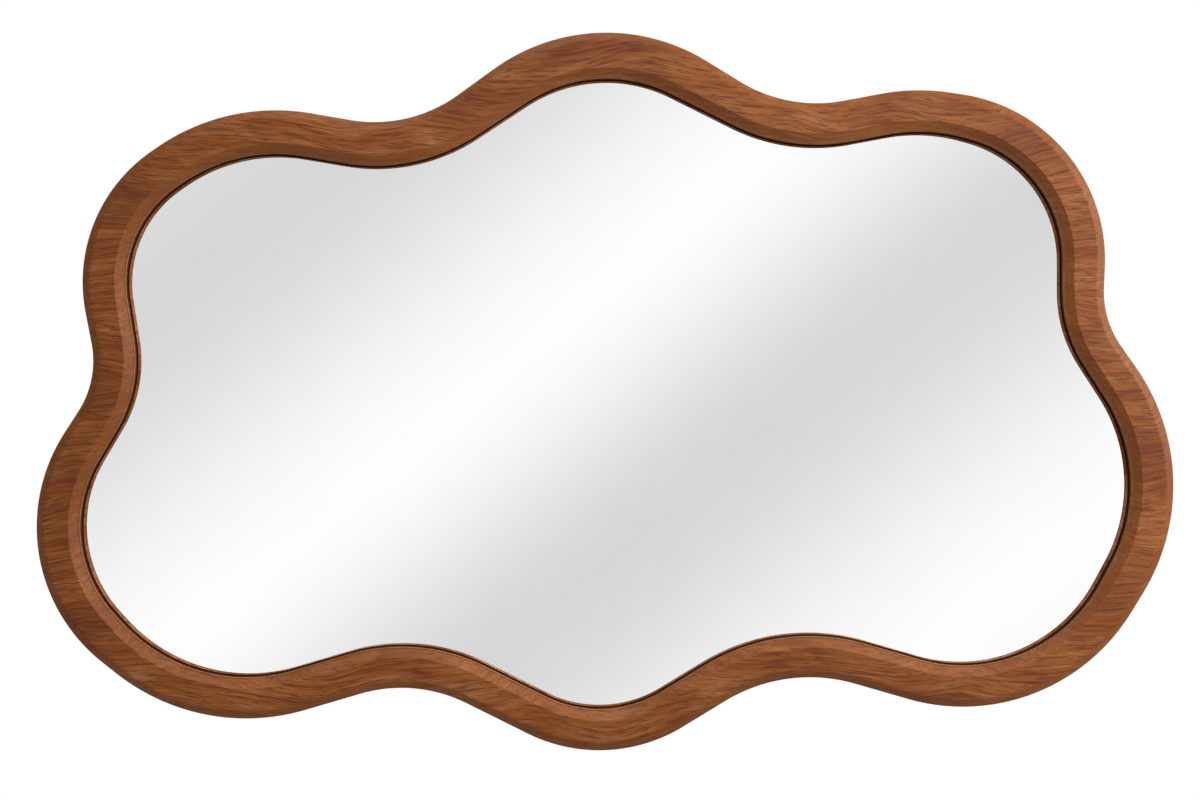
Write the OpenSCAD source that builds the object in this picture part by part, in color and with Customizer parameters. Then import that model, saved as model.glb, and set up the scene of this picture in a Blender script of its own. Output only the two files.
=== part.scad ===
// Wall mirror with a wavy, cloud-shaped wooden frame.
// x runs to the right seen from the front, y runs back toward the wall and z runs up.
// The origin is on the wall, behind the middle of the mirror, where the bumpers touch.

/* [Frame outline] */
// overall width of the frame; the whole outline scales with it
overall_w = 966; // [900:1:1200]
// usual width of the frame, from its outer edge to the sight edge
band_w = 36; // [35:0.5:40]
// widest turn of an arc between two stations of the swept frame, in degrees
arc_step = 3; // [2:0.5:6]

/* [Frame section] */
// width of the bevel on either side of the flat front
bevel_w = 7; // [4:0.5:9]
// how far each bevel falls away from the flat front
bevel_d = 5; // [3:0.5:7]
// width of the narrow land between the inner bevel and the sight edge
land_w = 1.5; // [0.5:0.25:2]
// height of the plain wall at the sight edge, below the land
lip_h = 5; // [4:0.5:10]
// how far the lip covers the edge of the glass
glass_lap = 9; // [7:0.5:10]
// width of the rim left behind the back panel's rebate
rim_w = 11; // [10:0.5:12]
// how far the rim stands behind the back panel
rim_proud = 1; // [0.5:0.5:2]

/* [Mirror and back] */
// thickness of the glass
glass_t = 4; // [3:0.5:6]
// room all round the glass in its rebate
glass_gap = 1; // [0.5:0.25:1.5]
// thickness of the wooden liner between the frame's lip and the glass
liner_t = 5; // [2:0.5:6]
// how far the liner shows inside the sight edge
liner_show = 1.2; // [0.5:0.1:2]
// how far the liner reaches under the lip
liner_lap = 7; // [5:0.5:8]
// thickness of the back panel
panel_t = 5; // [3:0.5:6]
// room all round the back panel in its rebate
panel_gap = 1; // [0.5:0.25:1.5]

/* [Frame joints] */
// diameter of the dowels
dowel_d = 8; // [6:0.5:8]
// length of the dowels
dowel_l = 30; // [24:1:36]
// distance of the outer dowel from the outer edge
dowel_out_u = 7.5; // [6:0.5:8]
// distance of the inner dowel from the outer edge
dowel_in_u = 18.5; // [17:0.5:18.5]
// depth of the dowels behind the flat front
dowel_y = 9.5; // [9:0.5:11]
// glue room round each dowel
dowel_fit = 0.05; // [0.02:0.01:0.1]

/* [Screws] */
// shank diameter of the wood screws
screw_d = 3.5; // [3:0.5:4]
// head diameter of the wood screws
screw_head_d = 7; // [6:0.5:7.5]
// head height of the back panel's screws
screw_head_h = 2; // [1.5:0.5:2.5]
// length of a back panel screw under its head
panel_screw_l = 14; // [10:1:16]
// length of a hanger screw, head and all
hanger_screw_l = 16; // [10:1:18]
// room round each screw in its hole
screw_fit = 0.05; // [0.02:0.01:0.1]

/* [Hangers] */
// room between the right hanger plate and the back panel's screw below it
hanger_clear = 2; // [1:0.5:4]
// distance of the hangers' middle from the frame's outer edge
hanger_u = 20; // [19.5:0.5:21]
// width of a hanger plate
plate_w = 12; // [10:1:12]
// length of a hanger plate below its pivot
plate_l = 30; // [28:1:31]
// thickness of a hanger plate
plate_t = 1.5; // [1:0.25:1.5]
// thickness of the wire of a ring
wire_d = 3; // [2.5:0.25:3]
// turning room round the wire in its sleeve
pivot_fit = 0.05; // [0.02:0.01:0.1]
// radius of the ring's bow, to the middle of the wire
bow_r = 11; // [10.5:0.5:12]

/* [Wall bumpers] */
// diameter of a bumper
bumper_d = 10; // [8:0.5:10]
// thickness of a bumper
bumper_t = 6; // [6:0.5:9]

/* [Hidden] */
$fn = 64;

// The outline is a belt round sixteen circles, clockwise from the top. A lobe has a positive radius
// and a hollow a negative one, and straight tangents join them.
// Each row is the centre x, the centre z, the radius and what the frame's width there adds to the usual.
drawn_w = 966;
arcs = [
  [1, 142, 163, 3],
  [180, 370, -125, -1],
  [267, 76, 180, -1],
  [283, 112, 142, 0],
  [505, 85, -81, -1],
  [308, -80, 175, 0],
  [304, -100, 168, -1],
  [174, -381, -138, -1],
  [-5, -168, 137, -1],
  [-173, -376, -124, -1],
  [-305, -100, 178, -1],
  [-336, -115, 147, 1],
  [-514, 26, -79, 0],
  [-309, 93, 135, 1],
  [-280, 62, 177, 1],
  [-196, 350, -121, 1]
];
n = len(arcs);
// the hollows where the frame's pieces meet, clockwise
joint_arcs = [1, 4, 7, 9, 12, 15];
size = overall_w / drawn_w;

// Which family an outline belongs to: it keeps its distance from the outer edge or from the sight edge.
OUTER = 0;
SIGHT = 1;

// Depths behind the flat front, in the order that the pieces are laid in.
ledge_y = bevel_d + lip_h;
glass_y = ledge_y + liner_t;
panel_y = glass_y + glass_t;
back_y = panel_y + panel_t;
frame_d = back_y + rim_proud;
front_y = -frame_d - bumper_t;

glass_pocket = glass_lap + glass_gap;
panel_edge = rim_w + panel_gap;
// middle of the wooden shelf that the back panel is screwed to
shelf_u = (rim_w + band_w - glass_pocket) / 2;

function row(i) = arcs[(i + n) % n];
function centre(i) = size * [row(i)[0], row(i)[1]];
function is_lobe(i) = row(i)[2] > 0;
function width(i) = band_w + row(i)[3];
// signed radius of arc i, for a line that lies d inside the outer edge or d outside the sight edge
function radius(i, family, d) = size * row(i)[2] - (family == OUTER ? d : width(i) - d);
// direction that the tangent between arc i and the next one faces
function facing(i, family) =
  let (gap = centre(i + 1) - centre(i), step = radius(i, family, 0) - radius(i + 1, family, 0))
  atan2(gap[1], gap[0]) + acos(step / norm(gap));
function wrap(a) = a - 360 * round(a / 360);
function turn(i, family) = wrap(facing(i, family) - facing(i - 1, family));
function mid_facing(i) = facing(i - 1, OUTER) + turn(i, OUTER) / 2;
// direction faced a share f of the way along arc i; both families agree at its middle
function facing_at(i, f, family) =
  let (start = facing(i - 1, family), half = wrap(mid_facing(i) - start), full = turn(i, family))
  f < 0.5 ? start + 2 * f * half : start + half + (2 * f - 1) * (full - half);
function dir(a) = [cos(a), sin(a)];
function spot(i, f, family, d) = centre(i) + radius(i, family, d) * dir(facing_at(i, f, family));
function steps(i) = 2 * ceil(abs(turn(i, OUTER)) / arc_step / 2);

function outline(family, d) = [for (i = [0:n - 1]) for (j = [0:steps(i)]) spot(i, j / steps(i), family, d)];

// puts a drawing of x and z at a depth behind the flat front
module sheet(y, t) {
  translate([0, front_y + y + t, 0])
    rotate([90, 0, 0])
      linear_extrude(t)
        children();
}

// Frame section, as lines that run along the frame: family, distance and depth.
section = [
  [OUTER, 0, frame_d],
  [OUTER, 0, bevel_d],
  [OUTER, bevel_w, 0],
  [SIGHT, bevel_w + land_w, 0],
  [SIGHT, land_w, bevel_d],
  [SIGHT, 0, bevel_d],
  [SIGHT, 0, ledge_y],
  [SIGHT, glass_pocket, ledge_y],
  [SIGHT, glass_pocket, panel_y],
  [OUTER, rim_w, panel_y],
  [OUTER, rim_w, frame_d]
];
// the sawn end of a piece, as triangles between the lines of the section
sawn_end = [[0, 1, 9], [0, 9, 10], [1, 2, 9], [2, 8, 9], [2, 7, 8], [2, 3, 7], [3, 4, 7], [4, 6, 7],
  [4, 5, 6]];

// stations of a frame piece that runs from the middle of arc a to the middle of arc b
function stations(a, b) = [
  for (i = [a:b], j = [0:steps(i)])
    let (f = j / steps(i))
    if ((i > a || f >= 0.5) && (i < b || f <= 0.5)) [i, f]
];
function station_point(s, line) =
  let (p = spot(s[0], s[1], line[0], line[1])) [p[0], front_y + line[2], p[1]];

// a place u inside the outer edge at the middle of arc i, turned so that its z runs along the frame
module at_joint(i, u) {
  a = mid_facing(i);
  p = centre(i) + radius(i, OUTER, u) * dir(a);
  translate([p[0], front_y + dowel_y, p[1]])
    rotate([0, -a, 0])
      children();
}

module joint_places(i) {
  for (u = [dowel_out_u, dowel_in_u])
    at_joint(i, u)
      children();
}

// Places of the back panel's screws: one on every lobe arc and one on each side of every joint.
screw_shares = [0.2, 0.8];
screw_spots = [for (i = [0:n - 1], f = is_lobe(i) ? [0.5] : screw_shares) spot(i, f, OUTER, shelf_u)];
module screw_places() {
  for (p = screw_spots)
    translate([p[0], front_y + back_y, p[1]])
      rotate([-90, 0, 0])
        children();
}

// The swept frame piece after joint k, with its dowel and screw holes.
module frame_piece(k) {
  a = joint_arcs[k];
  b = k + 1 < len(joint_arcs) ? joint_arcs[k + 1] : joint_arcs[0] + n;
  st = stations(a, b);
  m = len(section);
  last = (len(st) - 1) * m;
  difference() {
    polyhedron(
      points = [for (s = st, line = section) station_point(s, line)],
      faces = concat(
        [for (s = [0:len(st) - 2], j = [0:m - 1])
          let (p = s * m + j, q = s * m + (j + 1) % m) [p, q, q + m, p + m]],
        [for (t = sawn_end) [t[2], t[1], t[0]]],
        [for (t = sawn_end) [last + t[0], last + t[1], last + t[2]]]
      )
    );
    for (i = [a, b])
      joint_places(i)
        cylinder(d = dowel_d + 2 * dowel_fit, h = dowel_l + 2, center = true);
    screw_places()
      translate([0, 0, -panel_screw_l - 1])
        cylinder(d = screw_d + 2 * screw_fit, h = panel_screw_l);
    hanger_places()
      hanger_screw_holes();
  }
}

module frame_top_centre() {
  color("sienna") frame_piece(5);
}
module frame_top_right() {
  color("peru") frame_piece(0);
}
module frame_bottom_right() {
  color("sienna") frame_piece(1);
}
module frame_bottom_centre() {
  color("peru") frame_piece(2);
}
module frame_bottom_left() {
  color("sienna") frame_piece(3);
}
module frame_top_left() {
  color("peru") frame_piece(4);
}

// Dowels with a small bevel at both ends.
dowel_bevel = 0.8;
module joint_dowels() {
  r = dowel_d / 2;
  h = dowel_l / 2;
  color("burlywood")
    for (i = joint_arcs)
      joint_places(i)
        rotate_extrude()
          polygon([[0, -h], [r - dowel_bevel, -h], [r, dowel_bevel - h], [r, h - dowel_bevel],
            [r - dowel_bevel, h], [0, h]]);
}

module sight_liner() {
  color("saddlebrown")
    sheet(ledge_y, liner_t)
      difference() {
        polygon(outline(SIGHT, liner_lap));
        polygon(outline(SIGHT, -liner_show));
      }
}

module mirror_glass() {
  color("lightsteelblue")
    sheet(glass_y, glass_t)
      polygon(outline(SIGHT, glass_lap));
}

module back_panel() {
  color("tan")
    difference() {
      sheet(panel_y, panel_t)
        polygon(outline(OUTER, panel_edge));
      screw_places()
        translate([0, 0, -panel_t - 1])
          cylinder(d = screw_d + 2 * screw_fit, h = panel_t + 2);
      hanger_places()
        hanger_screw_holes();
    }
}

// A pan-head wood screw; its head rests at z = 0 and its point is below.
tip_l = 4;
cross_w = 1;
cross_l = 4;
cross_d = 1.3;
module cross_recess(top) {
  for (a = [0, 90])
    rotate([0, 0, a])
      translate([-cross_l / 2, -cross_w / 2, top - cross_d])
        cube([cross_l, cross_w, cross_d + 1]);
}
module panel_screws() {
  r = screw_head_d / 2;
  color("silver")
    screw_places()
      difference() {
        rotate_extrude()
          polygon([[0, -panel_screw_l], [screw_d / 2, tip_l - panel_screw_l], [screw_d / 2, 0], [r, 0],
            [r, screw_head_h * 0.4], [r * 0.8, screw_head_h * 0.8], [r * 0.45, screw_head_h],
            [0, screw_head_h]]);
        cross_recess(screw_head_h);
      }
}

// Hangers: both stand on the back panel over the wooden shelf, left and right at one height.
// A hanger is drawn about its pivot, with x across, z up and y toward the wall.
sleeve_r = wire_d / 2 + pivot_fit + plate_t;
sleeve_lift = 0.2;
pivot_y = back_y + sleeve_lift + sleeve_r;
plate_y = back_y - pivot_y;
// the lobe arcs that the left and the right hanger stand on, and the hollow below the right one
hanger_arcs = [13, 3];
hollow_arc = joint_arcs[1];
hanger_z = spot(hollow_arc, screw_shares[0], OUTER, shelf_u)[1] + screw_head_d / 2 + hanger_clear + plate_l;
// each hanger sits over the shelf, level with the middle of its plate
function hanger_reach(i) =
  let (r = radius(i, OUTER, hanger_u), dz = hanger_z - plate_l / 2 - centre(i)[1]) sqrt(r * r - dz * dz);
left_x = centre(hanger_arcs[0])[0] - hanger_reach(hanger_arcs[0]);
right_x = centre(hanger_arcs[1])[0] + hanger_reach(hanger_arcs[1]);
module at_hanger(x) {
  translate([x, front_y + pivot_y, hanger_z])
    children();
}
module hanger_places() {
  for (x = [left_x, right_x])
    at_hanger(x)
      children();
}

// the two screws of a plate, below the pivot
plate_screws = [8, 22];
head_t = plate_t - 0.05;
module plate_screw_places() {
  for (z = plate_screws)
    translate([0, plate_y + plate_t, -z])
      rotate([-90, 0, 0])
        children();
}
module hanger_screw_holes() {
  plate_screw_places()
    translate([0, 0, -hanger_screw_l])
      cylinder(d = screw_d + 2 * screw_fit, h = hanger_screw_l);
}

module hanger_plate() {
  difference() {
    union() {
      // the strap
      translate([0, plate_y + plate_t, 0])
        rotate([90, 0, 0])
          linear_extrude(plate_t) {
            translate([-plate_w / 2, plate_w / 2 - plate_l])
              square([plate_w, plate_l - plate_w / 2]);
            translate([0, plate_w / 2 - plate_l])
              circle(d = plate_w);
          }
      // the sleeve rolled from its upper end
      rotate([0, 90, 0])
        cylinder(r = sleeve_r, h = plate_w, center = true);
    }
    rotate([0, 90, 0])
      cylinder(d = wire_d + 2 * pivot_fit, h = plate_w + 2, center = true);
    plate_screw_places()
      translate([0, 0, -plate_t - 1])
        cylinder(d = screw_d + 2 * screw_fit, h = plate_t + 2);
    plate_screw_places()
      translate([0, 0, -head_t])
        cylinder(d1 = screw_d + 2 * screw_fit, d2 = screw_head_d + 2 * screw_fit, h = head_t);
  }
}
module left_hanger_plate() {
  color("gainsboro") at_hanger(left_x) hanger_plate();
}
module right_hanger_plate() {
  color("gainsboro") at_hanger(right_x) hanger_plate();
}

// A ring bent from round wire: a straight bar in the sleeve, two tight bends, two legs and the bow.
bend_r = 2.5;
leg_l = 1.5;
module ring() {
  half_bar = bow_r - bend_r;
  rotate([0, 90, 0])
    cylinder(d = wire_d, h = 2 * half_bar, center = true);
  for (side = [0, 1])
    mirror([side, 0, 0]) {
      translate([half_bar, 0, -bend_r])
        rotate([90, 0, 0])
          rotate_extrude(angle = 90)
            translate([bend_r, 0])
              circle(d = wire_d);
      translate([bow_r, 0, -bend_r - leg_l])
        cylinder(d = wire_d, h = leg_l);
    }
  translate([0, 0, -bend_r - leg_l])
    rotate([-90, 0, 0])
      rotate_extrude(angle = 180)
        translate([bow_r, 0])
          circle(d = wire_d);
}
module left_ring() {
  color("silver") at_hanger(left_x) ring();
}
module right_ring() {
  color("silver") at_hanger(right_x) ring();
}

module hanger_screws() {
  color("silver")
    hanger_places()
      plate_screw_places()
        difference() {
          rotate_extrude()
            polygon([[0, -hanger_screw_l], [screw_d / 2, tip_l - hanger_screw_l], [screw_d / 2, -head_t],
              [screw_head_d / 2, 0], [0, 0]]);
          cross_recess(0);
        }
}

// Bumpers stand on the rim at the outer end of the four corner lobes.
bumper_arcs = [2, 6, 10, 14];
bumper_taper = 0.8;
module wall_bumpers() {
  r = bumper_d / 2;
  color("dimgray")
    for (i = bumper_arcs) {
      p = spot(i, 0.5, OUTER, rim_w / 2);
      translate([p[0], front_y + frame_d, p[1]])
        rotate([-90, 0, 0])
          rotate_extrude()
            polygon([[0, 0], [r, 0], [r - bumper_taper / 2, bumper_t - bumper_taper],
              [r - 3 * bumper_taper / 2, bumper_t], [0, bumper_t]]);
    }
}

frame_top_centre();
frame_top_right();
frame_bottom_right();
frame_bottom_centre();
frame_bottom_left();
frame_top_left();
joint_dowels();
sight_liner();
mirror_glass();
back_panel();
panel_screws();
left_hanger_plate();
right_hanger_plate();
left_ring();
right_ring();
hanger_screws();
wall_bumpers();
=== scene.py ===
import math

import bmesh
import bpy
from mathutils import Matrix, Vector


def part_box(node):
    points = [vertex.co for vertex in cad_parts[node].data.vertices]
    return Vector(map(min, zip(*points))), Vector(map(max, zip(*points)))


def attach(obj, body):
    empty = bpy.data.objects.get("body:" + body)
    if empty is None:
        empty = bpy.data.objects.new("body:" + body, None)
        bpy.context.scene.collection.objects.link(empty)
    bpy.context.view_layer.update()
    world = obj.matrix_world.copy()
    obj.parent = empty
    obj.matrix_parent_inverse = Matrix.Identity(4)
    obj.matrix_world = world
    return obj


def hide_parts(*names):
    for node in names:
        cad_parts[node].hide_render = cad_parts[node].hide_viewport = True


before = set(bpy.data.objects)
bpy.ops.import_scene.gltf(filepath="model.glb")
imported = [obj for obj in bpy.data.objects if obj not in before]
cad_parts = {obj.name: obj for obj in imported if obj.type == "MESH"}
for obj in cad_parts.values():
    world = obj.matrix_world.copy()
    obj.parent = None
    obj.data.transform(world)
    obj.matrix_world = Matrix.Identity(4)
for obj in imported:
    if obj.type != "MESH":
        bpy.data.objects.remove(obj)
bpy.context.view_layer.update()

# Outline of the frame
# The sawyer's template: a belt round sixteen circles, clockwise from the top. Lobes have a positive radius
# and hollows a negative one. Each row is centre x, centre z, radius and extra frame width, in millimetres.
MM = 0.001
BAND_WIDTH = 36
CIRCLES = [
    (1, 142, 163, 3),
    (180, 370, -125, -1),
    (267, 76, 180, -1),
    (283, 112, 142, 0),
    (505, 85, -81, -1),
    (308, -80, 175, 0),
    (304, -100, 168, -1),
    (174, -381, -138, -1),
    (-5, -168, 137, -1),
    (-173, -376, -124, -1),
    (-305, -100, 178, -1),
    (-336, -115, 147, 1),
    (-514, 26, -79, 0),
    (-309, 93, 135, 1),
    (-280, 62, 177, 1),
    (-196, 350, -121, 1),
]
OUTER, SIGHT = 0, 1
STATION_TURN = 1.25


def circle(i):
    return CIRCLES[i % len(CIRCLES)]


def centre(i):
    return Vector((circle(i)[0], 0, circle(i)[1]))


def radius(i, edge, inset):
    x, z, r, extra = circle(i)
    return r - inset if edge == OUTER else r - (BAND_WIDTH + extra - inset)


def heading(degrees):
    return Vector((math.cos(math.radians(degrees)), 0, math.sin(math.radians(degrees))))


def link_facing(i, edge):
    gap = centre(i + 1) - centre(i)
    step = radius(i, edge, 0) - radius(i + 1, edge, 0)
    return math.degrees(math.atan2(gap.z, gap.x) + math.acos(step / gap.length))


def wrapped(degrees):
    return degrees - 360 * round(degrees / 360)


def facing(i, share, edge):
    """Direction that the edge faces, a share of the way along circle i; both edges agree halfway."""
    start = link_facing(i - 1, edge)
    outer_start = link_facing(i - 1, OUTER)
    outer_turn = wrapped(link_facing(i, OUTER) - outer_start)
    half = wrapped(outer_start + outer_turn / 2 - start)
    full = wrapped(link_facing(i, edge) - start)
    return start + 2 * share * half if share < 0.5 else start + half + (2 * share - 1) * (full - half)


def spot(i, share, edge, inset):
    return MM * (centre(i) + radius(i, edge, inset) * heading(facing(i, share, edge)))


def stations(first, last, whole=False):
    """(circle, share) pairs from the middle of one circle to the middle of another, or round whole circles."""
    found = []
    for i in range(first, last + 1):
        turn = abs(wrapped(link_facing(i, OUTER) - link_facing(i - 1, OUTER)))
        steps = 2 * math.ceil(turn / STATION_TURN / 2)
        for j in range(steps + 1):
            share = j / steps
            if whole or (i > first or share >= 0.5) and (i < last or share <= 0.5):
                found.append((i, share))
    return found


# Moulded frame
# Six segments of stained open-pored ash, sawn from boards that lie along the mirror and butt-jointed
# with dowels in the hollows. A cutter runs round the glued ring: a soft bevel outside, a crisp one inside,
# a narrow land at the sight edge, and rebates behind for the glass and the back panel.
FRONT_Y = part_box("frame_top_centre")[0].y
BEVEL_WIDTH, BEVEL_DEPTH, LAND_WIDTH = 7, 5, 1.5
LEDGE_DEPTH, PANEL_DEPTH, FRAME_DEPTH = 10, 19, 25
GLASS_POCKET, RIM_WIDTH = 10, 11
# Corners of the section: edge that it follows, inset from that edge, depth, and radius that eases it.
MOULDING = [
    (OUTER, 0, FRAME_DEPTH, 1.2),
    (OUTER, 0, BEVEL_DEPTH, 1.6),
    (OUTER, BEVEL_WIDTH, 0, 6.0),
    (SIGHT, BEVEL_WIDTH + LAND_WIDTH, 0, 0.5),
    (SIGHT, LAND_WIDTH, BEVEL_DEPTH, 2.0),
    (SIGHT, 0, BEVEL_DEPTH, 1.0),
    (SIGHT, 0, LEDGE_DEPTH, 0.2),
    (SIGHT, GLASS_POCKET, LEDGE_DEPTH, 0.2),
    (SIGHT, GLASS_POCKET, PANEL_DEPTH, 0.3),
    (OUTER, RIM_WIDTH, PANEL_DEPTH, 0.2),
    (OUTER, RIM_WIDTH, FRAME_DEPTH, 0.5),
]
# How worn each corner is, with a painted highlight on the land's corner, and how dark the rebate stain is from each
# corner to the next; on the lip's wall that near black is painted shade of the recess at the sight edge.
MOULDING_WEAR_AND_HIGHLIGHT = [0.2, 0.2, 0.0, 0.25, 0.1, 1.0, 0, 0, 0, 0, 0.3]
MOULDING_STAIN_AND_SHADE = [0, 0, 0, 0, 0, 1, 1, 1, 1, 0, 0]
# Flat strip kept on either side of an eased corner, and the most segments in its arc.
SUPPORT_WIDTH, ARC_SEGMENTS = 0.25, 6
# Share of a corner's wear and painted highlight that is left on the strips beside it.
WEAR_AND_HIGHLIGHT_BESIDE = 0.1


def eased_section(name, corners, wear_and_highlight, stain_and_shade):
    """The section as a closed wire with arcs at its corners; each point knows its edge, inset and depth."""
    flat = [(inset if edge == OUTER else BAND_WIDTH - inset, depth) for edge, inset, depth, _ in corners]
    points = []
    count = len(corners)
    for k, (edge, _, _, ease) in enumerate(corners):
        here = Vector(flat[k])
        back = (Vector(flat[k - 1]) - here).normalized()
        ahead = (Vector(flat[(k + 1) % count]) - here).normalized()
        half = back.angle(ahead) / 2
        cut = ease / math.tan(half)
        middle = here + (back + ahead).normalized() * (ease / math.sin(half))
        bow_start, bow_end = here + back * cut - middle, here + ahead * cut - middle
        segments = max(2, min(ARC_SEGMENTS, round(ease * 3)))
        arc = [bow_start.slerp(bow_end, t / segments) * ease for t in range(segments + 1)]
        row = [middle + bow_start + back * SUPPORT_WIDTH] + [middle + a for a in arc]
        row.append(middle + bow_end + ahead * SUPPORT_WIDTH)
        for m, p in enumerate(row):
            on_arc = 0 < m < len(row) - 1
            before = m <= len(row) // 2
            inset_here = p[0] if edge == OUTER else BAND_WIDTH - p[0]
            wear_and_highlight_here = wear_and_highlight[k] if on_arc else WEAR_AND_HIGHLIGHT_BESIDE * wear_and_highlight[k]
            points.append((edge, inset_here, p[1], wear_and_highlight_here, stain_and_shade[k - 1] if before else stain_and_shade[k]))
    mesh = bpy.data.meshes.new(name)
    mesh.from_pydata([(p[1] * MM, p[2] * MM, 0) for p in points],
                     [(k, (k + 1) % len(points)) for k in range(len(points))], [])
    for column, label in enumerate(("edge", "inset", "depth", "wear_and_highlight", "stain_and_shade")):
        scale = MM if label in ("inset", "depth") else 1
        values = mesh.attributes.new(label, "FLOAT", "POINT")
        values.data.foreach_set("value", [p[column] * scale for p in points])
    return bpy.data.objects.new(name, mesh)


# How far from a joint the figures of two boards run in among each other, in metres.
MATCH_LENGTH = 0.03


def template_line(name, places, closed, neighbours=(0, 0)):
    """A wire through the stations that carries both edges of the frame and the way that each faces.

    Near each end it also carries the neighbour's board and how near the joint is, up to half, negative at
    the first end.
    """
    mesh = bpy.data.meshes.new(name)
    outer = [spot(i, share, OUTER, 0) for i, share in places]
    last = len(places) if closed else len(places) - 1
    mesh.from_pydata([tuple(p) for p in outer], [(k, (k + 1) % len(places)) for k in range(last)], [])
    sight = [spot(i, share, SIGHT, 0) for i, share in places]
    rows = {
        "outer_point": outer,
        "sight_point": sight,
        "outer_out": [heading(facing(i, share, OUTER)) for i, share in places],
        "sight_out": [heading(facing(i, share, SIGHT)) for i, share in places],
    }
    for label, vectors in rows.items():
        values = mesh.attributes.new(label, "FLOAT_VECTOR", "POINT")
        values.data.foreach_set("vector", [x for v in vectors for x in v])
    middle = [(a + b) / 2 for a, b in zip(outer, sight)]
    gone = [0]
    for a, b in zip(middle, middle[1:]):
        gone.append(gone[-1] + (b - a).length)
    near = []
    for run in gone:
        near_first = max(0, 1 - run / MATCH_LENGTH)
        near_last = max(0, 1 - (gone[-1] - run) / MATCH_LENGTH)
        near.append(0 if closed else (near_last - near_first) / 2)
    beyond = [neighbours[0] if t < 0 else neighbours[1] for t in near]
    for label, row in (("seam", near), ("neighbour", beyond)):
        values = mesh.attributes.new(label, "FLOAT", "POINT")
        values.data.foreach_set("value", row)
    line = bpy.data.objects.new(name, mesh)
    bpy.context.scene.collection.objects.link(line)
    return line


def new_tree(name, kind, inputs):
    tree = bpy.data.node_groups.new(name, kind)
    tree.interface.new_socket("Geometry", in_out="INPUT", socket_type="NodeSocketGeometry")
    for label, socket in inputs:
        tree.interface.new_socket(label, in_out="INPUT", socket_type=socket)
    tree.interface.new_socket("Geometry", in_out="OUTPUT", socket_type="NodeSocketGeometry")
    return tree


def add(tree, kind, links=None, **settings):
    """Adds a node, sets it up, and joins its inputs to sockets or plain values."""
    made = tree.nodes.new(kind)
    for key, value in settings.items():
        setattr(made, key, value)
    for key, source in (links or {}).items():
        socket = made.inputs[key]
        if isinstance(source, bpy.types.NodeSocket):
            tree.links.new(source, socket)
        else:
            socket.default_value = source
    return made


def sweep_tree():
    """Lays the section along the template line, each point by its own edge, inset and depth."""
    tree = new_tree("Moulding cutter", "GeometryNodeTree", [
        ("Section", "NodeSocketObject"), ("Front", "NodeSocketFloat"), ("Board", "NodeSocketFloat"),
        ("Finish", "NodeSocketMaterial")])
    given = add(tree, "NodeGroupInput").outputs

    def read(label, kind):
        return add(tree, "GeometryNodeInputNamedAttribute", {"Name": label}, data_type=kind).outputs[0]

    section = add(tree, "GeometryNodeObjectInfo", {"Object": given["Section"]}).outputs["Geometry"]
    rail = add(tree, "GeometryNodeMeshToCurve", {"Mesh": given["Geometry"]}).outputs[0]
    profile = add(tree, "GeometryNodeMeshToCurve", {"Mesh": section}).outputs[0]
    swept = add(tree, "GeometryNodeCurveToMesh",
                {"Curve": rail, "Profile Curve": profile, "Fill Caps": True})
    reach = {}
    for edge, sign in (("outer", -1.0), ("sight", 1.0)):
        signed = add(tree, "ShaderNodeMath", {0: read("inset", "FLOAT"), 1: sign}, operation="MULTIPLY")
        way = add(tree, "ShaderNodeVectorMath",
                  {0: read(edge + "_out", "FLOAT_VECTOR"), "Scale": signed.outputs[0]}, operation="SCALE")
        reach[edge] = add(tree, "ShaderNodeVectorMath",
                          {0: read(edge + "_point", "FLOAT_VECTOR"), 1: way.outputs[0]},
                          operation="ADD").outputs[0]
    place = add(tree, "ShaderNodeMix", data_type="VECTOR", clamp_factor=False)
    tree.links.new(read("edge", "FLOAT"), place.inputs[0])
    tree.links.new(reach["outer"], place.inputs[4])
    tree.links.new(reach["sight"], place.inputs[5])
    deep = add(tree, "ShaderNodeMath", {0: read("depth", "FLOAT"), 1: given["Front"]}, operation="ADD")
    back = add(tree, "ShaderNodeCombineXYZ", {"Y": deep.outputs[0]})
    where = add(tree, "ShaderNodeVectorMath", {0: place.outputs[1], 1: back.outputs[0]}, operation="ADD")
    laid = add(tree, "GeometryNodeSetPosition", {"Geometry": swept.outputs[0], "Position": where.outputs[0]})
    marked = add(tree, "GeometryNodeStoreNamedAttribute",
                 {"Geometry": laid.outputs[0], "Name": "board", "Value": given["Board"]},
                 data_type="FLOAT", domain="POINT")
    smooth = add(tree, "GeometryNodeSetShadeSmooth", {"Geometry": marked.outputs[0]})
    real = add(tree, "GeometryNodeRealizeInstances", {"Geometry": smooth.outputs[0]})
    done = add(tree, "GeometryNodeSetMaterial", {"Geometry": real.outputs[0], "Material": given["Finish"]})
    add(tree, "NodeGroupOutput", {"Geometry": done.outputs[0]})
    return tree


MERGE_DISTANCE = 1e-7
FRAME_SHARP_ANGLE = math.radians(40)


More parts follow.
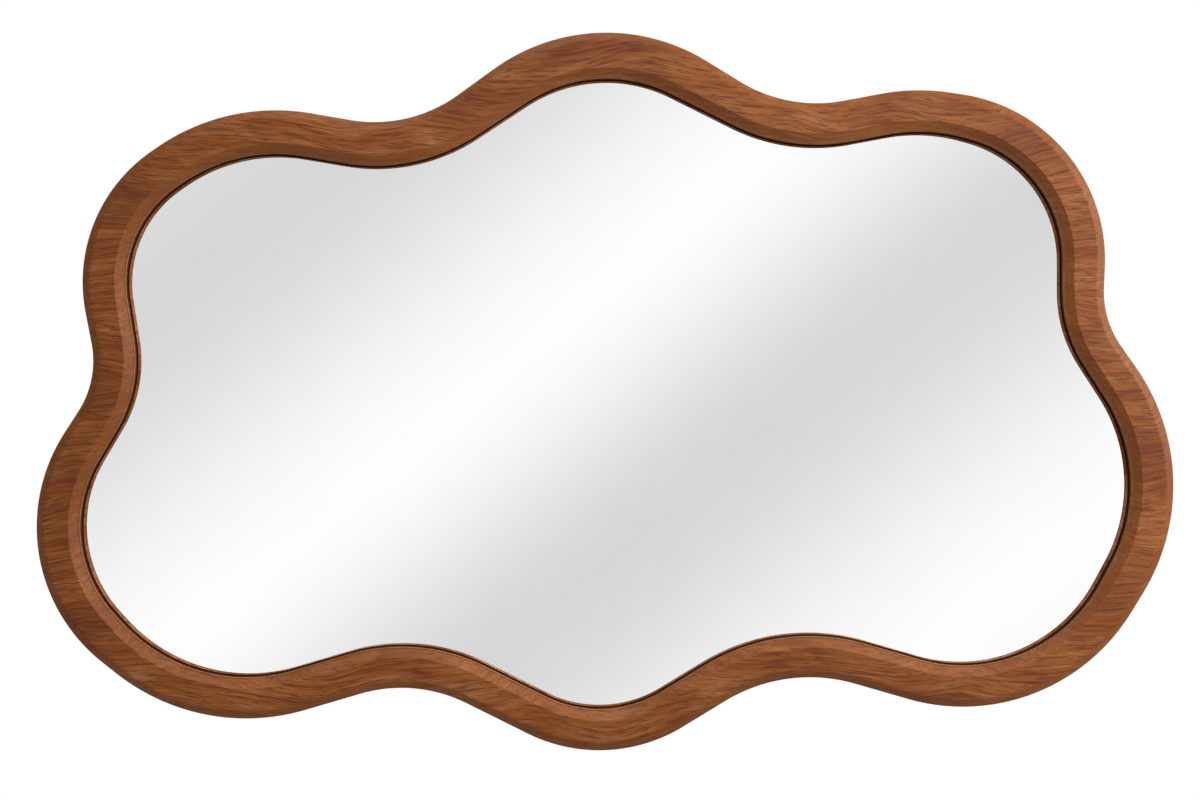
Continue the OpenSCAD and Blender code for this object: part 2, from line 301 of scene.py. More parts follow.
def grow(source, tree, name, values):
    """Runs a tree on a source object and keeps the result as a plain mesh piece."""
    step = source.modifiers.new("grow", "NODES")
    step.node_group = tree
    for item in tree.interface.items_tree:
        if item.item_type == "SOCKET" and item.in_out == "INPUT" and item.name in values:
            step[item.identifier] = values[item.name]
    bpy.context.view_layer.update()
    evaluated = source.evaluated_get(bpy.context.evaluated_depsgraph_get())
    mesh = bpy.data.meshes.new_from_object(evaluated)
    source.modifiers.remove(step)
    bpy.data.objects.remove(source)
    solid = bmesh.new()
    solid.from_mesh(mesh)
    bmesh.ops.remove_doubles(solid, verts=solid.verts, dist=MERGE_DISTANCE)
    bmesh.ops.recalc_face_normals(solid, faces=solid.faces)
    solid.to_mesh(mesh)
    solid.free()
    mesh.set_sharp_from_angle(angle=FRAME_SHARP_ANGLE)
    mesh.name = name
    piece = bpy.data.objects.new(name, mesh)
    bpy.context.scene.collection.objects.link(piece)
    return piece


def new_material(name):
    material = bpy.data.materials.new(name)
    material.use_nodes = True
    tree = material.node_tree
    return material, tree, tree.nodes["Principled BSDF"]


def noise(tree, where, scale, detail, rough=0.5, output=0):
    made = add(tree, "ShaderNodeTexNoise",
               {"Vector": where, "Scale": scale, "Detail": detail, "Roughness": rough})
    return made.outputs[output]


def stretched(tree, where, size):
    return add(tree, "ShaderNodeVectorMath", {0: where, 1: size}, operation="MULTIPLY").outputs[0]


def ramp(tree, factor, stops, interpolation="LINEAR"):
    """A colour ramp; a stop is a position and a colour, or a grey as a single number in brackets."""
    made = add(tree, "ShaderNodeValToRGB", {"Fac": factor})
    made.color_ramp.interpolation = interpolation
    while len(made.color_ramp.elements) < len(stops):
        made.color_ramp.elements.new(0.5)
    for element, (position, colour) in zip(made.color_ramp.elements, stops):
        element.position = position
        element.color = (*colour, 1) if len(colour) == 3 else (colour[0],) * 3 + (1,)
    return made.outputs["Color"]


def blend_colour(tree, factor, first, second, kind="MIX"):
    made = add(tree, "ShaderNodeMix", data_type="RGBA", blend_type=kind)
    for index, source in ((0, factor), (6, first), (7, second)):
        if isinstance(source, bpy.types.NodeSocket):
            tree.links.new(source, made.inputs[index])
        else:
            made.inputs[index].default_value = (*source, 1) if isinstance(source, tuple) else source
    return made.outputs[2]


def combined(tree, first, second, operation="ADD"):
    return add(tree, "ShaderNodeMath", {0: first, 1: second}, operation=operation).outputs[0]


# How far the growth rings lean in Z for each metre back through the board.
RING_LEAN = 0.8
# How fine each part of the figure is along the mirror, through it and up it, in noise cells to the metre.
STREAK_SCALE = (19, 120, 350)
BAND_SCALE = (7, 30, 70)
BLOTCH_SCALE = (11, 11, 17)
LINE_SCALE = (26, 200, 600)
PORE_SCALE = (90, 700, 1150)
FINGER_SCALE = (24, 60, 260)
# How far the figure sways up and down, and how strongly lines and pores take up the stain.
SWAY_HEIGHT = 0.07
LINE_DARKNESS, PORE_DARKNESS = 0.74, 0.70
# Step through the log for each unit of a board's number, so that no two boards share their figure.
LOG_STEP = (0.91, 0.37, 0.53)
# How far the burnished bevels are evened out, and the near black of the rebates and the lip's wall, which on the
# lip's wall and the liner's face is painted shade of the recess at the sight edge.
BURNISH = 0.5
REBATE_STAIN_AND_SHADE = (0.062, 0.0125, 0.0008)


def ash_figure(tree, place, board, tones):
    """Colour, dark lines and pores of a board, by where in the log it was cut."""
    shift = add(tree, "ShaderNodeVectorMath", {0: LOG_STEP, "Scale": board}, operation="SCALE").outputs[0]
    log = add(tree, "ShaderNodeVectorMath", {0: place, 1: shift}, operation="ADD").outputs[0]
    # the rings slope back through the board, so the bevels cut them aslant
    depth = add(tree, "ShaderNodeSeparateXYZ", {0: place}).outputs["Y"]
    lean = add(tree, "ShaderNodeCombineXYZ", {"Z": combined(tree, depth, -RING_LEAN, "MULTIPLY")}).outputs[0]
    tilted = add(tree, "ShaderNodeVectorMath", {0: log, 1: lean}, operation="ADD").outputs[0]
    sway = noise(tree, stretched(tree, tilted, (0.8, 0.3, 1.0)), 7.0, 1.0, 0.5, output=1)
    swing = add(tree, "ShaderNodeVectorMath", {0: sway, 1: (0.5, 0.5, 0.5)}, operation="SUBTRACT").outputs[0]
    swing = stretched(tree, swing, (0.0, 0.0, SWAY_HEIGHT))
    grain = add(tree, "ShaderNodeVectorMath", {0: tilted, 1: swing}, operation="ADD").outputs[0]
    streaks = noise(tree, stretched(tree, grain, STREAK_SCALE), 1.0, 4.0, 0.6)
    bands = noise(tree, stretched(tree, grain, BAND_SCALE), 1.0, 3.0, 0.5)
    blotch = noise(tree, stretched(tree, log, BLOTCH_SCALE), 1.0, 2.0, 0.5)
    lines = noise(tree, stretched(tree, grain, LINE_SCALE), 1.0, 2.0, 0.5)
    pores = noise(tree, stretched(tree, grain, PORE_SCALE), 1.0, 2.0, 0.5)
    ground = ramp(tree, streaks, list(zip((0.28, 0.46, 0.63, 0.82), tones["ground"])))
    cloud = ramp(tree, bands, [(0.32, (0.80, 0.69, 0.42)), (0.5, (1.0, 1.0, 1.0)), (0.7, (1.14, 1.25, 1.60))])
    ground = blend_colour(tree, 1.0, ground, cloud, "MULTIPLY")
    patch = ramp(tree, blotch, [(0.3, (0.70, 0.60, 0.32)), (0.5, (1.0, 1.0, 1.0)), (0.7, (1.26, 1.41, 1.95))])
    ground = blend_colour(tree, 1.0, ground, patch, "MULTIPLY")
    dark_line = ramp(tree, lines, [(0.53, (0,)), (0.63, (1,))])
    ground = blend_colour(tree, combined(tree, dark_line, LINE_DARKNESS, "MULTIPLY"), ground, tones["pore"])
    pore = ramp(tree, pores, [(0.57, (0,)), (0.63, (1,))])
    ground = blend_colour(tree, combined(tree, pore, PORE_DARKNESS, "MULTIPLY"), ground, tones["pore"])
    return ground, dark_line, pore, pores


def stained_ash(name, tones, shine):
    """Open-pored ash under a brown stain and thin satin lacquer; the grain lies along the mirror's length."""
    material, tree, skin = new_material(name)
    place = add(tree, "ShaderNodeTexCoord").outputs["Object"]

    def read(label):
        return add(tree, "ShaderNodeAttribute", attribute_name=label).outputs["Fac"]

    wear_and_highlight, stain_and_shade, seam = read("wear_and_highlight"), read("stain_and_shade"), read("seam")
    own = ash_figure(tree, place, read("board"), tones)
    other = ash_figure(tree, place, read("neighbour"), tones)
    # boards are matched for figure, so at a joint the streaks of one run in among those of the other
    fingers = noise(tree, stretched(tree, place, FINGER_SCALE), 1.0, 2.0, 0.5)
    fingers = combined(tree, fingers, 0.5, "SUBTRACT")
    fingers = combined(tree, fingers, combined(tree, seam, 0.0, "SIGN"), "MULTIPLY")
    reach = combined(tree, combined(tree, seam, 0.0, "ABSOLUTE"), fingers)
    across = add(tree, "ShaderNodeMapRange", {"Value": reach, "From Min": 0.38, "From Max": 0.62},
                 interpolation_type="SMOOTHSTEP").outputs["Result"]
    ground, dark_line, pore, pores = [blend_colour(tree, across, a, b) for a, b in zip(own, other)]
    # the cutter burnishes the bevels, so they take the stain more evenly than the sanded face
    cut = ramp(tree, combined(tree, read("depth"), 1 / (FRAME_DEPTH * MM), "MULTIPLY"), [
        (0.0, (0,)), (0.03, (BURNISH,)), (0.2, (BURNISH,)), (0.28, (0,))])
    ground = blend_colour(tree, cut, ground, tones["burnished"])
    # Lighter bare wood along the eased corners: wear, and at the land's corner a painted highlight.
    rubbed = noise(tree, place, 240.0, 3.0, 0.6)
    bare_and_highlight = combined(tree, ramp(tree, rubbed, [(0.35, (0.25,)), (0.65, (0.45,))]), wear_and_highlight, "MULTIPLY")
    ground = blend_colour(tree, bare_and_highlight, ground, tones["worn_and_highlight"])
    # Near black where the section asks for it: a rebate stain on the hidden rebates, and painted shade of the recess
    # on the lip's wall, the liner's face and the top of the liner's wall.
    ground = blend_colour(tree, stain_and_shade, ground, REBATE_STAIN_AND_SHADE)
    tree.links.new(ground, skin.inputs["Base Color"])
    gloss = ramp(tree, pores, [(0.35, (0.52,)), (0.70, (0.72,))])
    gloss = add(tree, "ShaderNodeMath", {0: combined(tree, stain_and_shade, 0.5, "MULTIPLY"), 1: gloss}, operation="ADD",
                use_clamp=True)
    tree.links.new(gloss.outputs[0], skin.inputs["Roughness"])
    pore_depth, line_depth = combined(tree, pore, 0.6, "MULTIPLY"), combined(tree, dark_line, 0.5, "MULTIPLY")
    hollow = combined(tree, pore_depth, line_depth, "MAXIMUM")
    height = combined(tree, 1.0, hollow, "SUBTRACT")
    skin.inputs["Specular IOR Level"].default_value = shine
    bump = add(tree, "ShaderNodeBump", {"Height": height, "Strength": 0.22, "Distance": 0.0002})
    tree.links.new(bump.outputs[0], skin.inputs["Normal"])
    return material


ASH_TONES = {
    "ground": [(0.202, 0.039, 0.0004), (0.268, 0.070, 0.0045), (0.330, 0.109, 0.0280), (0.385, 0.156, 0.0660)],
    "pore": (0.112, 0.016, 0.0002),
    "worn_and_highlight": (0.560, 0.310, 0.165),
    "burnished": (0.262, 0.074, 0.0110),
}
LACQUER_SHINE = 0.37
frame_ash = stained_ash("stained_ash_frame", ASH_TONES, LACQUER_SHINE)
cutter = sweep_tree()
joint_circles = [1, 4, 7, 9, 12, 15]
segment_names = ["frame_top_right", "frame_bottom_right", "frame_bottom_centre", "frame_bottom_left",
                 "frame_top_left", "frame_top_centre"]
# Where in the log each segment's board was cut, which sets its figure.
BOARD_CUTS = [22.5, 1.2, 22.3, 19.5, 26.0, 30.1]
for k, node in enumerate(segment_names):
    first = joint_circles[k]
    last = joint_circles[k + 1] if k + 1 < len(joint_circles) else joint_circles[0] + len(CIRCLES)
    moulding = eased_section("moulding_section", MOULDING, MOULDING_WEAR_AND_HIGHLIGHT, MOULDING_STAIN_AND_SHADE)
    matched = BOARD_CUTS[k - 1], BOARD_CUTS[(k + 1) % len(BOARD_CUTS)]
    rail = template_line("segment_line", stations(first, last), False, matched)
    segment = grow(rail, cutter, "ash_" + node, {
        "Section": moulding, "Front": FRONT_Y, "Board": BOARD_CUTS[k], "Finish": frame_ash})
    bpy.data.objects.remove(moulding)
    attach(segment, "mirror")
    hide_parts(node)

# Joint dowels
# Twelve fluted beech pegs, glued across the six joints. They are shut in the wood, so the turned
# solids stay as they are, in bare beech.
beech, tree, skin = new_material("beech")
place = add(tree, "ShaderNodeTexCoord").outputs["Object"]
flecks = noise(tree, stretched(tree, place, (900, 900, 900)), 1.0, 3.0, 0.6)
bare_wood = ramp(tree, flecks, [(0.35, (0.42, 0.26, 0.15)), (0.65, (0.62, 0.43, 0.27))])
tree.links.new(bare_wood, skin.inputs["Base Color"])
tree.links.new(ramp(tree, flecks, [(0.35, (0.6,)), (0.65, (0.75,))]), skin.inputs["Roughness"])


def finish_node(node, material):
    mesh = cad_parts[node].data
    mesh.materials.clear()
    mesh.materials.append(material)


finish_node("joint_dowels", beech)

# Sight liner
# A thin ash strip bent round the sight edge between the frame's lip and the glass. Its face is painted
# nearly black as the shade of the recess, the painted shade runs a little down its inner wall, and the rest of that
# wall keeps a brown near the frame's.
GLASS_DEPTH = 15
LINER_LAP, LINER_SHOW = 7, 1.2
# How far the painted shade of the face runs down the inner wall, a painted contact shadow under the lip.
PAINTED_SHADE_RUN = 1.2
LINER = [
    (SIGHT, -LINER_SHOW, GLASS_DEPTH, 0.1),
    (SIGHT, LINER_LAP, GLASS_DEPTH, 0.1),
    (SIGHT, LINER_LAP, LEDGE_DEPTH, 0.1),
    (SIGHT, -LINER_SHOW, LEDGE_DEPTH, 0.3),
    (SIGHT, -LINER_SHOW - 0.02, LEDGE_DEPTH + PAINTED_SHADE_RUN, 0.1),
]
LINER_WEAR = [0, 0, 0, 0, 0]
# Near black on the hidden back and outer side, and on the face and the top of the inner wall, where it is painted
# shade of the recess.
LINER_STAIN_AND_SHADE = [1, 1, 1, 1, 0]
LINER_TONES = {
    "ground": [(0.23, 0.085, 0.032), (0.31, 0.122, 0.052), (0.37, 0.160, 0.074), (0.43, 0.205, 0.100)],
    "pore": (0.13, 0.040, 0.014),
    "worn_and_highlight": (0.50, 0.280, 0.160),
    "burnished": (0.33, 0.130, 0.056),
}
LINER_CUT = 6.3
liner_ash = stained_ash("stained_ash_liner", LINER_TONES, 0.0)
strip = eased_section("liner_section", LINER, LINER_WEAR, LINER_STAIN_AND_SHADE)
rail = template_line("liner_line", stations(0, len(CIRCLES) - 1, whole=True), True)
liner = grow(rail, cutter, "ash_sight_liner", {
    "Section": strip, "Front": FRONT_Y, "Board": LINER_CUT, "Finish": liner_ash})
bpy.data.objects.remove(strip)
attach(liner, "mirror")
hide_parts("sight_liner")

# Mirror glass
# A 4 mm float glass sheet cut to the template, silvered and painted grey on its back. Here the front face
# carries the mirror, and the frame and the panel hide the green edge and the paint.
GLASS_FRONT_Y, GLASS_BACK_Y = (corner.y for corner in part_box("mirror_glass"))
# How deep a face's finish reaches into the sheet, in metres.
SKIN_DEPTH = 0.0002
EDGE_ROUGHNESS = 0.45
silver, tree, skin = new_material("silvered_glass")
place = add(tree, "ShaderNodeTexCoord").outputs["Object"]
depth = add(tree, "ShaderNodeSeparateXYZ", {0: place}).outputs["Y"]
behind_silver = combined(tree, depth, GLASS_FRONT_Y + SKIN_DEPTH, "GREATER_THAN")
behind_edge = combined(tree, depth, GLASS_BACK_Y - SKIN_DEPTH, "GREATER_THAN")
haze = noise(tree, place, 6.0, 3.0, 0.5)
speck = noise(tree, place, 900.0, 2.0, 0.5)
bright = ramp(tree, haze, [(0.3, (0.962, 0.966, 0.966)), (0.7, (0.975, 0.977, 0.976))])
edge_green = ramp(tree, speck, [(0.3, (0.10, 0.22, 0.17)), (0.7, (0.16, 0.30, 0.24))])
paint_grey = ramp(tree, speck, [(0.3, (0.16, 0.17, 0.18)), (0.7, (0.22, 0.23, 0.24))])
shell = blend_colour(tree, behind_edge, edge_green, paint_grey)
tree.links.new(blend_colour(tree, behind_silver, bright, shell), skin.inputs["Base Color"])
tree.links.new(combined(tree, 1.0, behind_silver, "SUBTRACT"), skin.inputs["Metallic"])
dull = ramp(tree, haze, [(0.35, (0.004,)), (0.7, (0.012,))])
edge_dull = combined(tree, behind_silver, EDGE_ROUGHNESS, "MULTIPLY")
tree.links.new(combined(tree, edge_dull, dull), skin.inputs["Roughness"])
finish_node("mirror_glass", silver)

# Back panel
# Brown hardboard cut to the template, smooth side out, let into its own rebate behind the glass.
board, tree, skin = new_material("fibreboard")
place = add(tree, "ShaderNodeTexCoord").outputs["Object"]
tangle = noise(tree, place, 90.0, 2.0, 0.5, output=1)
tangled = add(tree, "ShaderNodeVectorMath", {0: stretched(tree, tangle, (0.02, 0.02, 0.02)), 1: place},
              operation="ADD").outputs[0]
fibre = noise(tree, stretched(tree, tangled, (330, 500, 900)), 1.0, 5.0, 0.7)
crossed = noise(tree, stretched(tree, tangled, (900, 500, 420)), 1.0, 5.0, 0.7)
mottle = noise(tree, place, 9.0, 4.0, 0.55)
felt = combined(tree, combined(tree, fibre, crossed), 0.5, "MULTIPLY")
brown = ramp(tree, felt, [(0.36, (0.115, 0.066, 0.036)), (0.5, (0.185, 0.115, 0.066)), (0.64, (0.27, 0.18, 0.11))])
aged = ramp(tree, mottle, [(0.3, (0.86, 0.85, 0.84)), (0.7, (1.1, 1.1, 1.1))])
tree.links.new(blend_colour(tree, 1.0, brown, aged, "MULTIPLY"), skin.inputs["Base Color"])
tree.links.new(ramp(tree, felt, [(0.3, (0.62,)), (0.7, (0.80,))]), skin.inputs["Roughness"])
skin.inputs["Specular IOR Level"].default_value = 0.3
bump = add(tree, "ShaderNodeBump", {"Height": felt, "Strength": 0.3, "Distance": 0.0003})
tree.links.new(bump.outputs[0], skin.inputs["Normal"])
finish_node("back_panel", board)

# Screws
# Zinc plated wood screws with cross recesses: twenty-two pan heads hold the panel to the wooden shelf,
# and four countersunk ones hold the hanger plates. Each was driven home to its own angle.
SCREW_D, HEAD_D, HEAD_H = 3.5, 7, 2
RECESS_W, RECESS_L, RECESS_DEEP, RECESS_OVERRUN = 1.0, 4.0, 1.3, 0.3
# Half the recess, as shares of its length and width, at its floor and just above its mouth.
RECESS_TAPER, RECESS_MOUTH = (0.3, 0.35), 0.55
TIP_LENGTH, SCREW_SIDES = 4, 40
SCREW_SHARP_ANGLE = math.radians(35)


def zinc(name, low, high, rough):
    """Bright plated steel with faint rolling marks and a grey cast that varies at random."""
    material, tree, skin = new_material(name)
    place = add(tree, "ShaderNodeTexCoord").outputs["Object"]
    cast = noise(tree, place, 420.0, 4.0, 0.6)
    marks = noise(tree, stretched(tree, place, (6000, 900, 900)), 1.0, 2.0, 0.5)
    tree.links.new(ramp(tree, cast, [(0.3, low), (0.7, high)]), skin.inputs["Base Color"])
    tree.links.new(ramp(tree, marks, [(0.3, (rough - 0.06,)), (0.7, (rough + 0.08,))]), skin.inputs["Roughness"])
    skin.inputs["Metallic"].default_value = 1.0
    bump = add(tree, "ShaderNodeBump", {"Height": marks, "Strength": 0.1, "Distance": 0.0001})
    tree.links.new(bump.outputs[0], skin.inputs["Normal"])
    return material


def turned(name, outline):
    """A solid turned about the wallward axis; its outline is radius and height, in millimetres, from the tip."""
    solid = bmesh.new()
    rows = []
    for r, h in outline:
        if r == 0:
            rows.append([solid.verts.new((0, h * MM, 0))])
        else:
            around = [2 * math.pi * k / SCREW_SIDES for k in range(SCREW_SIDES)]
            rows.append([solid.verts.new((r * MM * math.cos(a), h * MM, r * MM * math.sin(a))) for a in around])
    for low, high in zip(rows, rows[1:]):
        for k in range(SCREW_SIDES):
            m = (k + 1) % SCREW_SIDES
            corners = [low[k % len(low)], low[m % len(low)], high[m % len(high)], high[k % len(high)]]
            solid.faces.new(list(dict.fromkeys(corners)))
    bmesh.ops.recalc_face_normals(solid, faces=solid.faces)
    mesh = bpy.data.meshes.new(name)
    solid.to_mesh(mesh)
    solid.free()
    made = bpy.data.objects.new(name, mesh)
    bpy.context.scene.collection.objects.link(made)
    return made


def cross_recess(screw, top):
    """Cuts a tapered cross into the head."""
    for turn in (0, 90):
        punch = bmesh.new()
        lower, upper = [], []
        for x, z in ((-1, -1), (1, -1), (1, 1), (-1, 1)):
            low_x, low_z = x * RECESS_L * RECESS_TAPER[0], z * RECESS_W * RECESS_TAPER[1]
            high_x, high_z = x * RECESS_L * RECESS_MOUTH, z * RECESS_W * RECESS_MOUTH
            lower.append(punch.verts.new((low_x * MM, (top - RECESS_DEEP) * MM, low_z * MM)))
            upper.append(punch.verts.new((high_x * MM, (top + RECESS_OVERRUN) * MM, high_z * MM)))
        punch.faces.new(lower)
        punch.faces.new(upper)
        for k in range(4):
            m = (k + 1) % 4
            punch.faces.new((lower[k], lower[m], upper[m], upper[k]))
        bmesh.ops.rotate(punch, verts=punch.verts, matrix=Matrix.Rotation(math.radians(turn), 3, "Y"))
        bmesh.ops.recalc_face_normals(punch, faces=punch.faces)
        mesh = bpy.data.meshes.new("punch")
        punch.to_mesh(mesh)
        punch.free()
        tool = bpy.data.objects.new("punch", mesh)
        bpy.context.scene.collection.objects.link(tool)
        cut = screw.modifiers.new("recess", "BOOLEAN")
        cut.operation, cut.solver, cut.object = "DIFFERENCE", "EXACT", tool
        bpy.context.view_layer.update()
        kept = bpy.data.meshes.new_from_object(screw.evaluated_get(bpy.context.evaluated_depsgraph_get()))
        screw.modifiers.remove(cut)
        screw.data = kept
        bpy.data.objects.remove(tool)
    screw.data.shade_smooth()
    screw.data.set_sharp_from_angle(angle=SCREW_SHARP_ANGLE)


def driven_tree():
    """Drives a copy of one screw home at every point, each turned to its own angle."""
    tree = new_tree("Screws driven home", "GeometryNodeTree", [
        ("Screw", "NodeSocketObject"), ("Seed", "NodeSocketInt"), ("Finish", "NodeSocketMaterial")])
    given = add(tree, "NodeGroupInput").outputs
    screw = add(tree, "GeometryNodeObjectInfo", {"Object": given["Screw"]}).outputs["Geometry"]
    angle = add(tree, "FunctionNodeRandomValue", {"Seed": given["Seed"]}, data_type="FLOAT")
    angle.inputs[3].default_value = math.pi / 2
    turn = add(tree, "ShaderNodeCombineXYZ", {"Y": angle.outputs[1]})
    placed = add(tree, "GeometryNodeInstanceOnPoints",
                 {"Points": given["Geometry"], "Instance": screw, "Rotation": turn.outputs[0]})
    real = add(tree, "GeometryNodeRealizeInstances", {"Geometry": placed.outputs[0]})
    done = add(tree, "GeometryNodeSetMaterial", {"Geometry": real.outputs[0], "Material": given["Finish"]})
    add(tree, "NodeGroupOutput", {"Geometry": done.outputs[0]})
    return tree


def drive(name, screw, places, seed, finish):
    mesh = bpy.data.meshes.new(name)
    mesh.from_pydata([tuple(p) for p in places], [], [])
    seats = bpy.data.objects.new(name, mesh)
    bpy.context.scene.collection.objects.link(seats)
    return grow(seats, driver, name, {"Screw": screw, "Seed": seed, "Finish": finish})


driver = driven_tree()
screw_zinc = zinc("zinc_screws", (0.50, 0.50, 0.47), (0.68, 0.68, 0.65), 0.30)
PANEL_BACK_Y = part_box("back_panel")[1].y
SHELF_INSET = (RIM_WIDTH + BAND_WIDTH - GLASS_POCKET) / 2
SCREW_SHARES = (0.2, 0.8)
PANEL_SCREW_LENGTH = 14
# The crown of the head, as shares of its diameter and heights in millimetres.
PAN_CROWN = [(0.5, 0), (0.5, 0.45), (0.487, 0.85), (0.45, 1.3), (0.37, 1.68), (0.27, 1.9), (0.14, 1.98), (0, HEAD_H)]
pan_head = turned("pan_head_screw", [
    (0, -PANEL_SCREW_LENGTH), (SCREW_D / 2, TIP_LENGTH - PANEL_SCREW_LENGTH), (SCREW_D / 2, 0),
    *((HEAD_D * share, height) for share, height in PAN_CROWN)])
cross_recess(pan_head, HEAD_H)
seats = []
for i in range(len(CIRCLES)):
    for share in (0.5,) if circle(i)[2] > 0 else SCREW_SHARES:
        seats.append(spot(i, share, OUTER, SHELF_INSET) + Vector((0, PANEL_BACK_Y, 0)))
PANEL_SCREW_SEED, HANGER_SCREW_SEED = 11, 5
panel_screws = drive("zinc_panel_screws", pan_head, seats, PANEL_SCREW_SEED, screw_zinc)
bpy.data.objects.remove(pan_head)
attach(panel_screws, "mirror")
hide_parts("panel_screws")

HANGER_SCREW_LENGTH = 16
PLATE_THICKNESS, SLEEVE_RADIUS = 1.5, 3.05
PLATE_SCREW_DROPS = (8, 22)
SINK_DEPTH = PLATE_THICKNESS - 0.05
sunk_head = turned("countersunk_screw", [
    (0, -HANGER_SCREW_LENGTH), (SCREW_D / 2, TIP_LENGTH - HANGER_SCREW_LENGTH), (SCREW_D / 2, -SINK_DEPTH),
    (HEAD_D / 2 - 0.05, -0.03), (HEAD_D / 2 - 0.12, 0), (0, 0)])
cross_recess(sunk_head, 0)
seats = []
for plate in ("left_hanger_plate", "right_hanger_plate"):
    low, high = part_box(plate)
    pivot_x, pivot_z = (low.x + high.x) / 2, high.z - SLEEVE_RADIUS * MM
    for drop in PLATE_SCREW_DROPS:
        seats.append(Vector((pivot_x, low.y + PLATE_THICKNESS * MM, pivot_z - drop * MM)))
hanger_screws = drive("zinc_hanger_screws", sunk_head, seats, HANGER_SCREW_SEED, screw_zinc)
bpy.data.objects.remove(sunk_head)
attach(hanger_screws, "mirror")
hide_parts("hanger_screws")

# Hangers
# Left and right on the back panel, over the wooden shelf: a zinc plated strap of 1.5 mm steel with its
# upper end rolled into a sleeve, and a ring of 3 mm steel wire that turns in it.
plate_zinc = zinc("zinc_plate", (0.46, 0.46, 0.44), (0.64, 0.64, 0.61), 0.36)
ring_wire = zinc("steel_wire", (0.55, 0.54, 0.52), (0.70, 0.69, 0.67), 0.22)
for side in ("left", "right"):
    finish_node(side + "_hanger_plate", plate_zinc)
    finish_node(side + "_ring", ring_wire)

# Wall bumpers
# Four moulded buttons of black rubber, stuck to the rim of the corner lobes. They keep the frame off
# the wall.
rubber, tree, skin = new_material("bumper_rubber")
place = add(tree, "ShaderNodeTexCoord").outputs["Object"]
bloom = noise(tree, place, 700.0, 4.0, 0.65)
black = ramp(tree, bloom, [(0.35, (0.018, 0.018, 0.018)), (0.7, (0.050, 0.050, 0.052))])
tree.links.new(black, skin.inputs["Base Color"])
tree.links.new(ramp(tree, bloom, [(0.3, (0.62,)), (0.7, (0.85,))]), skin.inputs["Roughness"])
finish_node("wall_bumpers", rubber)

# Studio
# White surroundings that only the glass and the gloss see, with two soft grey flags across what the glass
# mirrors from the front, a broad grey beyond them at the lower right, and dark at the top left. Four square
# softboxes stand in front, to the right, above and behind, and a pale floor fades out.
world = bpy.data.worlds.new("studio")
bpy.context.scene.world = world
world.use_nodes = True
tree = world.node_tree
tree.nodes.clear()
way = add(tree, "ShaderNodeTexCoord").outputs["Generated"]
FLAG_TILT = math.radians(40)
BACK_WALL_GREY = (0.75, 0.75, 0.75)
FLAG_STRENGTH, FILL_STRENGTH = 1.008, 0.20
across = add(tree, "ShaderNodeVectorMath", {0: way, 1: (math.sin(FLAG_TILT), 0, -math.cos(FLAG_TILT))},
             operation="DOT_PRODUCT").outputs["Value"]
spread = add(tree, "ShaderNodeMapRange", {"Value": across, "From Min": -1, "From Max": 1})
# Brightness of the surroundings square to the flags, from -1 at the upper left to 1 at the lower right.
FLAG_GREY, OPEN_WHITE = 0.69, 1.0
FLAGS = [
    (-1.0, 0.15), (-0.75, 0.30), (-0.5, 0.74), (-0.37, 0.92), (-0.21, FLAG_GREY), (-0.05, OPEN_WHITE),
    (0.075, FLAG_GREY), (0.235, OPEN_WHITE), (0.34, 0.96), (0.5, 0.66), (0.7, 0.60), (1.0, 0.85),
]
stops = [((w + 1) / 2, (g, g, g)) for w, g in FLAGS]
flags = ramp(tree, spread.outputs["Result"], stops, "EASE")
rays = add(tree, "ShaderNodeLightPath").outputs
backward = add(tree, "ShaderNodeSeparateXYZ", {0: way}).outputs["Y"]
behind = add(tree, "ShaderNodeMapRange", {"Value": backward, "From Min": 0.0, "From Max": 0.35},
             interpolation_type="SMOOTHSTEP").outputs["Result"]
flags = blend_colour(tree, behind, flags, BACK_WALL_GREY)
mirrored = add(tree, "ShaderNodeBackground", {"Color": flags, "Strength": FLAG_STRENGTH})
seen = add(tree, "ShaderNodeBackground", {"Color": (1, 1, 1, 1), "Strength": 1.0})
fill = add(tree, "ShaderNodeBackground", {"Color": (1.0, 0.98, 0.96, 1), "Strength": FILL_STRENGTH})
lit = add(tree, "ShaderNodeMixShader", {0: rays["Is Glossy Ray"], 1: fill.outputs[0], 2: mirrored.outputs[0]})
clear = combined(tree, rays["Is Camera Ray"], rays["Is Transmission Ray"], "MAXIMUM")
shown = add(tree, "ShaderNodeMixShader", {0: clear, 1: lit.outputs[0], 2: seen.outputs[0]})
add(tree, "ShaderNodeOutputWorld", {"Surface": shown.outputs[0]})


def soft_lamp(name, place, aim, size, power):
    light = bpy.data.lights.new(name, "AREA")
    light.shape, light.size, light.energy = "SQUARE", size, power
    lamp = bpy.data.objects.new(name, light)
    lamp.location = place
    lamp.rotation_euler = (Vector(aim) - Vector(place)).to_track_quat("-Z", "Y").to_euler()
    bpy.context.scene.collection.objects.link(lamp)


FRONT_AIM = (0.1, 0, 0)
soft_lamp("key_softbox", (0.75, -1.9, 1.0), FRONT_AIM, 0.8, 12.5)
soft_lamp("side_softbox", (1.7, -0.83, 0.6), FRONT_AIM, 0.8, 27.0)
soft_lamp("top_softbox", (-0.35, -0.83, 2.2), FRONT_AIM, 0.8, 17.0)
soft_lamp("back_softbox", (-1.5, 1.7, 1.4), (0, 0, 0), 1.0, 30.0)

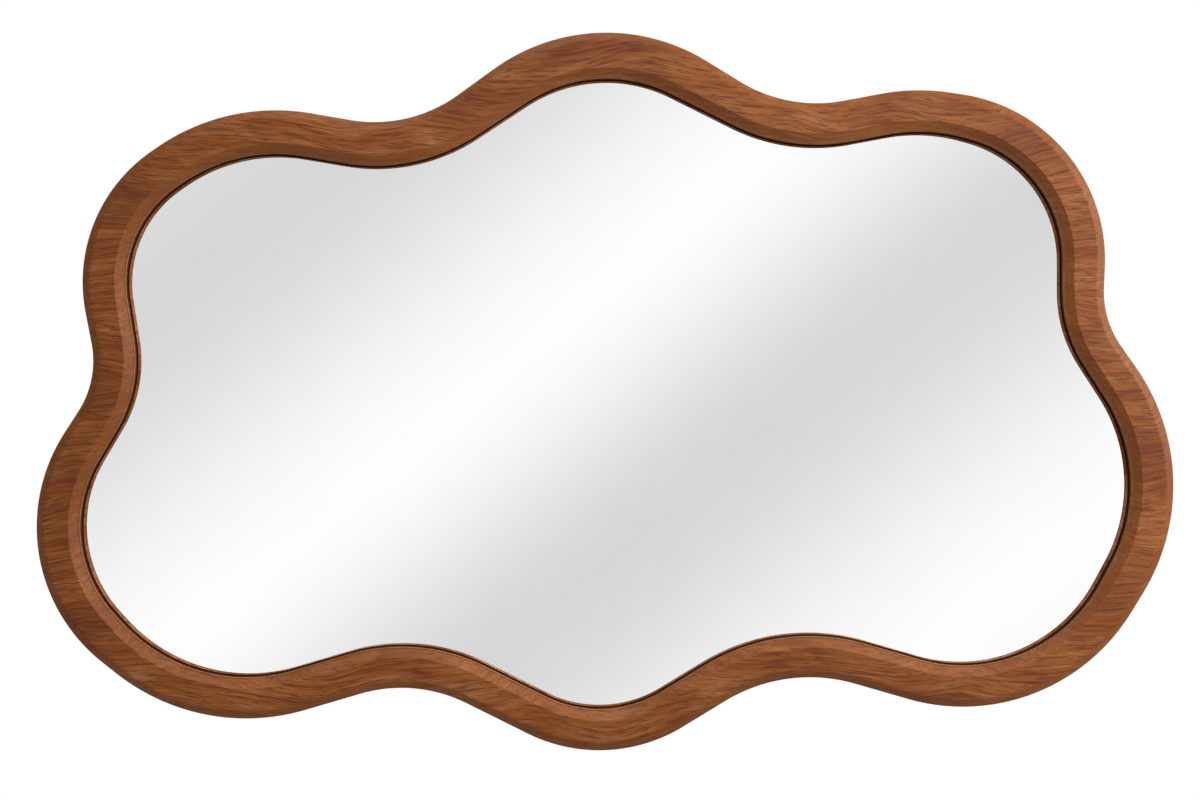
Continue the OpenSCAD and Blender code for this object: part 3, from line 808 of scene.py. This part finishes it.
FLOOR_CENTRE, FLOOR_RADIUS = (0, 0.4, -1.2), 2.6
FADE_START, FADE_LEAST = 0.9, 0.45
solid = bmesh.new()
bmesh.ops.create_circle(solid, cap_ends=True, segments=96, radius=FLOOR_RADIUS)
bmesh.ops.translate(solid, verts=solid.verts, vec=FLOOR_CENTRE)
mesh = bpy.data.meshes.new("floor")
solid.to_mesh(mesh)
solid.free()
floor = bpy.data.objects.new("floor", mesh)
bpy.context.scene.collection.objects.link(floor)
pale, tree, skin = new_material("pale_floor")
place = add(tree, "ShaderNodeTexCoord").outputs["Object"]
grain = noise(tree, place, 14.0, 5.0, 0.6)
tree.links.new(ramp(tree, grain, [(0.3, (0.80, 0.80, 0.79)), (0.7, (0.84, 0.84, 0.83))]), skin.inputs["Base Color"])
skin.inputs["Roughness"].default_value = 0.9
level = add(tree, "ShaderNodeVectorMath", {0: place, 1: FLOOR_CENTRE}, operation="DISTANCE").outputs["Value"]
fade = add(tree, "ShaderNodeMapRange",
           {"Value": level, "From Min": FADE_START, "From Max": FLOOR_RADIUS * 0.98, "To Min": FADE_LEAST},
           interpolation_type="SMOOTHSTEP").outputs["Result"]
away = add(tree, "ShaderNodeBsdfTransparent")
mixed = add(tree, "ShaderNodeMixShader", {0: fade, 1: skin.outputs[0], 2: away.outputs[0]})
tree.links.new(mixed.outputs[0], tree.nodes["Material Output"].inputs["Surface"])
mesh.materials.append(pale)

CAMERA_X, CAMERA_Z, CAMERA_AWAY = -0.00425, -0.00726, 1.4108
FOCAL_LENGTH, SENSOR_WIDTH = 50, 36
lens = bpy.data.cameras.new("camera")
lens.lens, lens.sensor_width, lens.sensor_fit = FOCAL_LENGTH, SENSOR_WIDTH, "HORIZONTAL"
camera = bpy.data.objects.new("camera", lens)
camera.location = (CAMERA_X, FRONT_Y - CAMERA_AWAY, CAMERA_Z)
camera.rotation_euler = (math.radians(90), 0, 0)
bpy.context.scene.collection.objects.link(camera)
bpy.context.scene.camera = camera
bpy.context.scene.view_settings.view_transform = "Standard"
